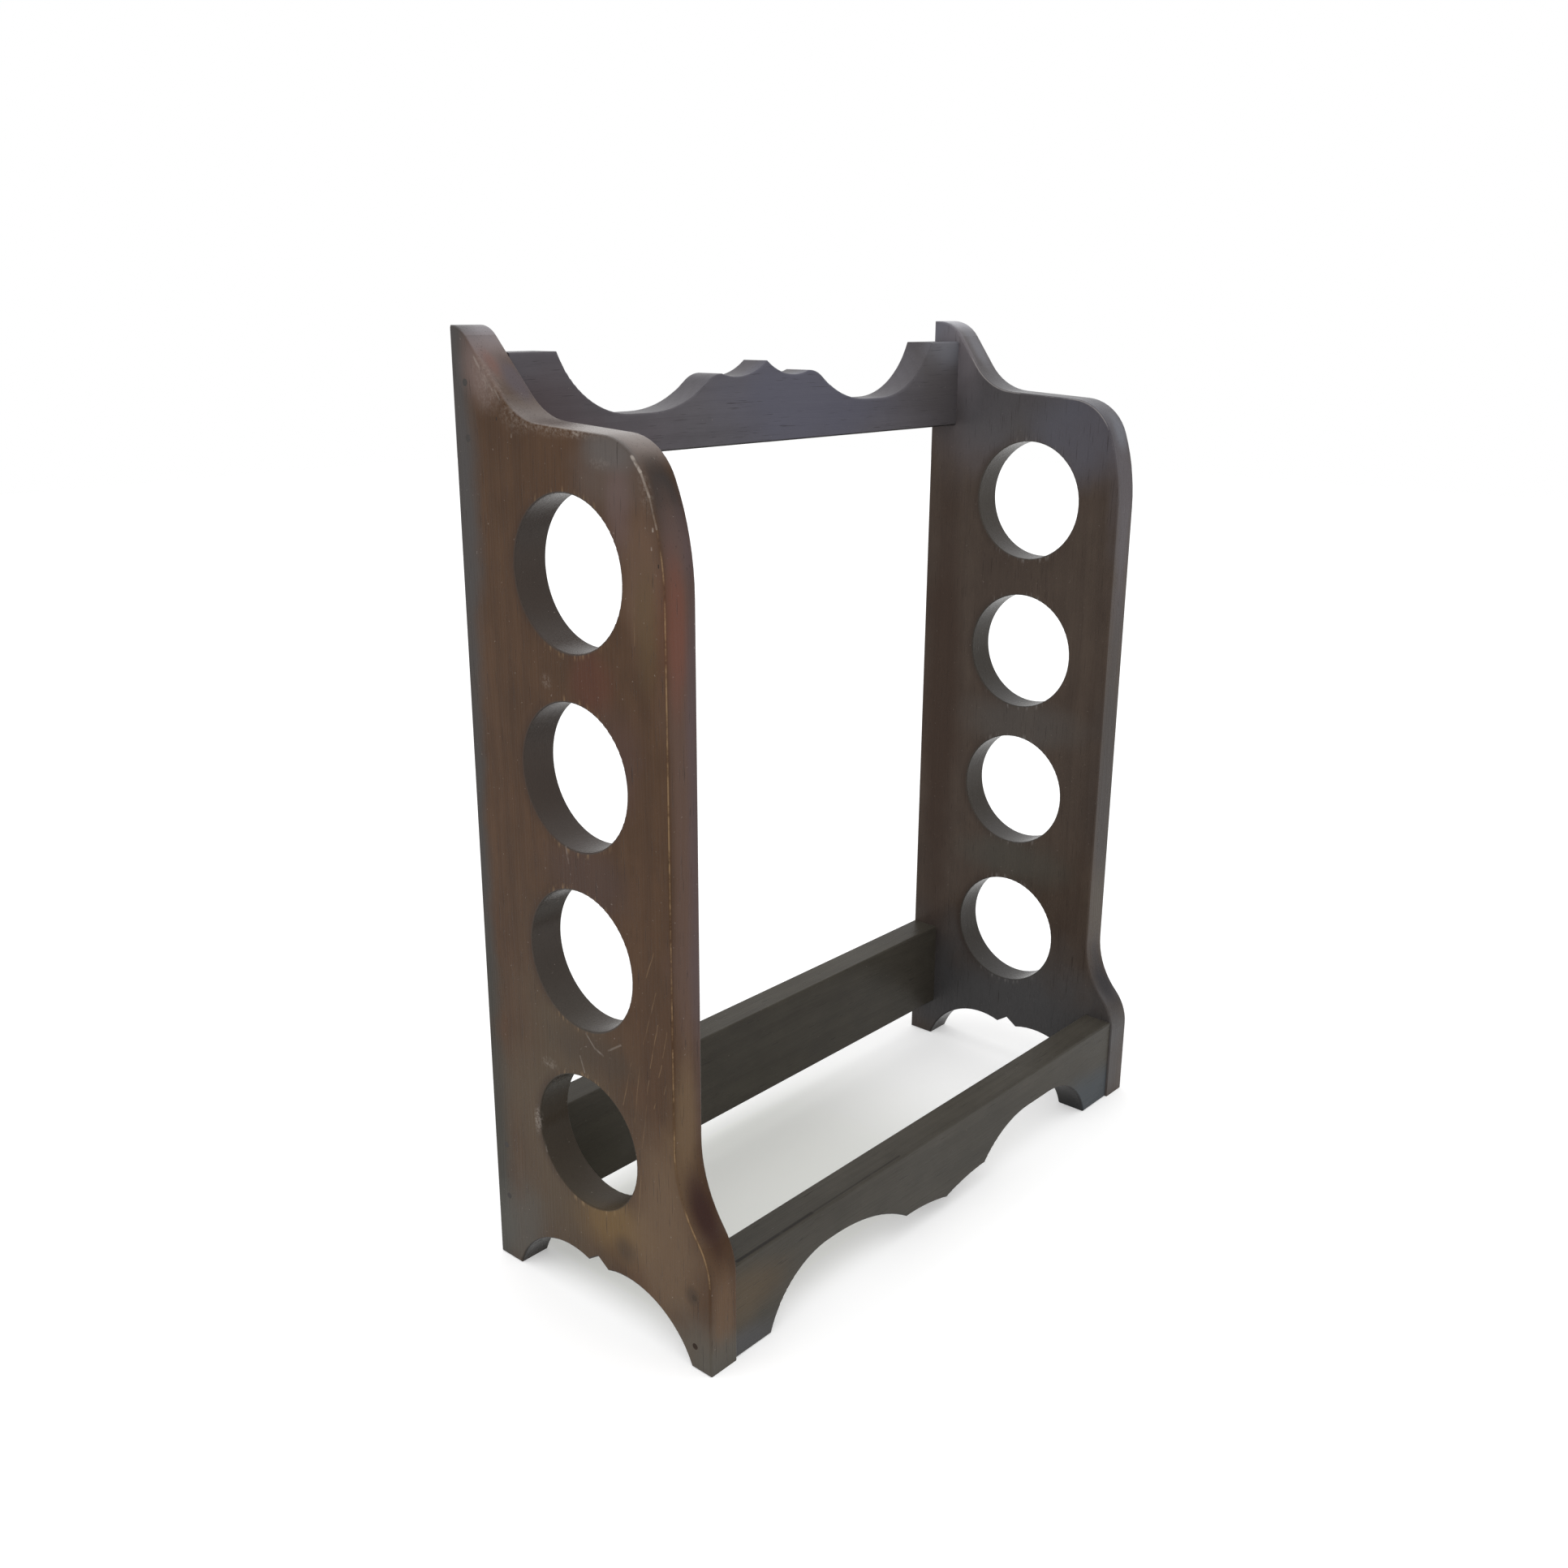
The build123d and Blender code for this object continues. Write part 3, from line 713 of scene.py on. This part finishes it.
FLOOR_SIZE = 8.0
FLOOR_WHITE = (0.9, 0.9, 0.9, 1.0)
FLOOR_LIFT = 0.36
SHADED_WHITE = (0.78, 0.79, 0.745, 1.0)
SHADED_LIFT = 0.16
SHADED_MIDDLE = 0.012
SHADED_HALF = 0.075
SHADED_SOFT = 0.02
SHADED_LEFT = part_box("left_end_board")[0].x
SHADED_FULL = (SHADED_LEFT + 0.03, -0.03)
SHADED_RIGHT = 0.18
bpy.ops.mesh.primitive_plane_add(size=FLOOR_SIZE)
floor = bpy.context.object
floor.name = "floor"


def seen_share(tree):
    """1 for rays that show the surround: straight to the camera, in a gloss or through glass."""
    ray = wire(tree, "LightPath").outputs
    mirrored = number(tree, "MAXIMUM", ray["Is Glossy Ray"], ray["Is Transmission Ray"])
    return number(tree, "MAXIMUM", ray["Is Camera Ray"], mirrored)


white_floor = bpy.data.materials.new("white_floor")
white_floor.use_nodes = True
paper = white_floor.node_tree
paper.nodes.clear()
spot = wire(paper, "SeparateXYZ", {0: wire(paper, "TexCoord").outputs["Object"]}).outputs
off_middle = number(paper, "ABSOLUTE", number(paper, "SUBTRACT", spot["Y"], SHADED_MIDDLE))
inside = ease(paper, off_middle, SHADED_HALF + SHADED_SOFT, SHADED_HALF - SHADED_SOFT)
for outer, full in zip((SHADED_LEFT, SHADED_RIGHT), SHADED_FULL):
    inside = number(paper, "MULTIPLY", inside, ease(paper, spot["X"], outer, full))
shade = overlay(paper, inside, FLOOR_WHITE, SHADED_WHITE)
matt = wire(paper, "BsdfDiffuse", {"Color": shade})
level = ease(paper, inside, 0.0, 1.0, FLOOR_LIFT, SHADED_LIFT)
lift = wire(paper, "Emission", {"Strength": number(paper, "MULTIPLY", seen_share(paper), level)})
both = wire(paper, "AddShader", {0: matt.outputs[0], 1: lift.outputs[0]})
wire(paper, "OutputMaterial", {"Surface": both.outputs[0]})
floor.data.materials.append(white_floor)

SKY_WHITE = (1.0, 1.0, 1.0, 1.0)
SKY_LEVEL = 0.86
world = bpy.data.worlds.new("white_surround")
bpy.context.scene.world = world
world.use_nodes = True
sky = world.node_tree
sky.nodes.clear()
dome = wire(sky, "Background", {"Color": SKY_WHITE, "Strength": SKY_LEVEL})
white = wire(sky, "Background", {"Color": SKY_WHITE, "Strength": 1.0})
shown = wire(sky, "MixShader", {0: seen_share(sky), 1: dome.outputs[0], 2: white.outputs[0]})
wire(sky, "OutputWorld", {"Surface": shown.outputs[0]})

LAMP_STRENGTH = 0.5
LAMP_SPREAD = 80
LAMP_FROM = Vector((-0.35, 0.1, 1.0))
lamp = bpy.data.lights.new("soft_light", "SUN")
lamp.energy = LAMP_STRENGTH
lamp.angle = radians(LAMP_SPREAD)
soft_light = bpy.data.objects.new("soft_light", lamp)
soft_light.rotation_euler = LAMP_FROM.to_track_quat("Z", "Y").to_euler()
bpy.context.scene.collection.objects.link(soft_light)


# The camera
# It stands at the front left, level with the tops of the end boards, as the photograph was taken.

CAMERA_PLACE = (-0.6505, -0.5159, 0.4958)
CAMERA_TURN = 47.9
CAMERA_TILT = 17.64
IMAGE_SIZE = 1932
FOCAL_PIXELS = 1890
AXIS_PIXEL = (928.5, 984.8)
lens = bpy.data.cameras.new("camera")
lens.sensor_width = 36.0
lens.lens = lens.sensor_width * FOCAL_PIXELS / IMAGE_SIZE
lens.shift_x = 0.5 - AXIS_PIXEL[0] / IMAGE_SIZE
lens.shift_y = AXIS_PIXEL[1] / IMAGE_SIZE - 0.5
camera = bpy.data.objects.new("camera", lens)
camera.location = CAMERA_PLACE
camera.rotation_euler = (radians(90 - CAMERA_TILT), 0.0, radians(-CAMERA_TURN))
bpy.context.scene.collection.objects.link(camera)
bpy.context.scene.camera = camera
bpy.context.scene.view_settings.view_transform = "Standard"
